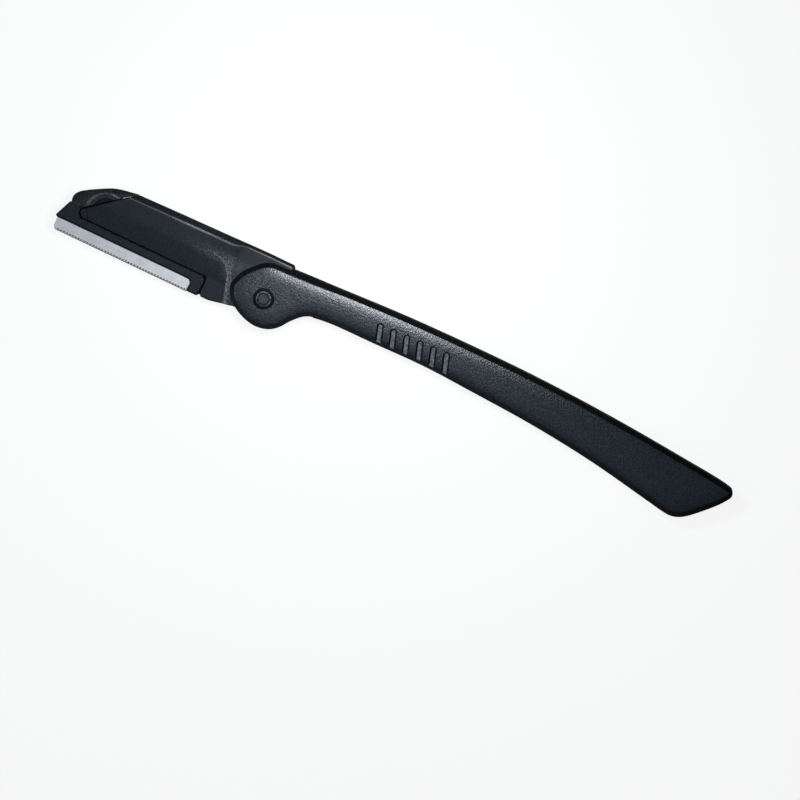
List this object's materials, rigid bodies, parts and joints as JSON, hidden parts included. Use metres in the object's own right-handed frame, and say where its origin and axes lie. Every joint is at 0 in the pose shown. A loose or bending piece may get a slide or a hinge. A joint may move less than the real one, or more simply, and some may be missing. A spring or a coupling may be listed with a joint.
{
  "type": "folding eyebrow razor",
  "caption": "Folding eyebrow razor: a slim curved handle of two shells, with a pivoting arm that carries a comb-guarded steel blade and folds into the handle's slot.",
  "frame": {"origin": "on the pivot's axis, in the plane of the handle's flat back face", "axes": "+X along the handle to the tip of its tail, +Y towards the handle's spine, away from the cutting edge, +Z out of the handle's front face, along the pivot's axis"},
  "size_m": [0.1597, 0.0165, 0.0054],
  "materials": {
    "handle_plastic": "fine grain, low sheen",
    "pin_plastic": "satin",
    "arm_plastic": "satin",
    "carrier_plastic": "satin",
    "cap_plastic": "satin",
    "blade_steel": "ground",
    "guard_steel": "satin"
  },
  "bodies": {
    "handle": {"front_handle_shell": "handle_plastic", "rear_handle_shell": "handle_plastic", "pivot_pin": "pin_plastic"},
    "arm": {"blade_arm": "arm_plastic", "blade_carrier": "carrier_plastic", "tip_cap": "cap_plastic", "razor_blade": "blade_steel", "comb_guard": "guard_steel"}
  },
  "joints": [
    {"name": "fold", "type": "hinge", "parent": "handle", "child": "arm", "pos_m": [0, 0, 0.0027], "axis": [0, 0, 1], "range_deg": [0, 180]}
  ]
}
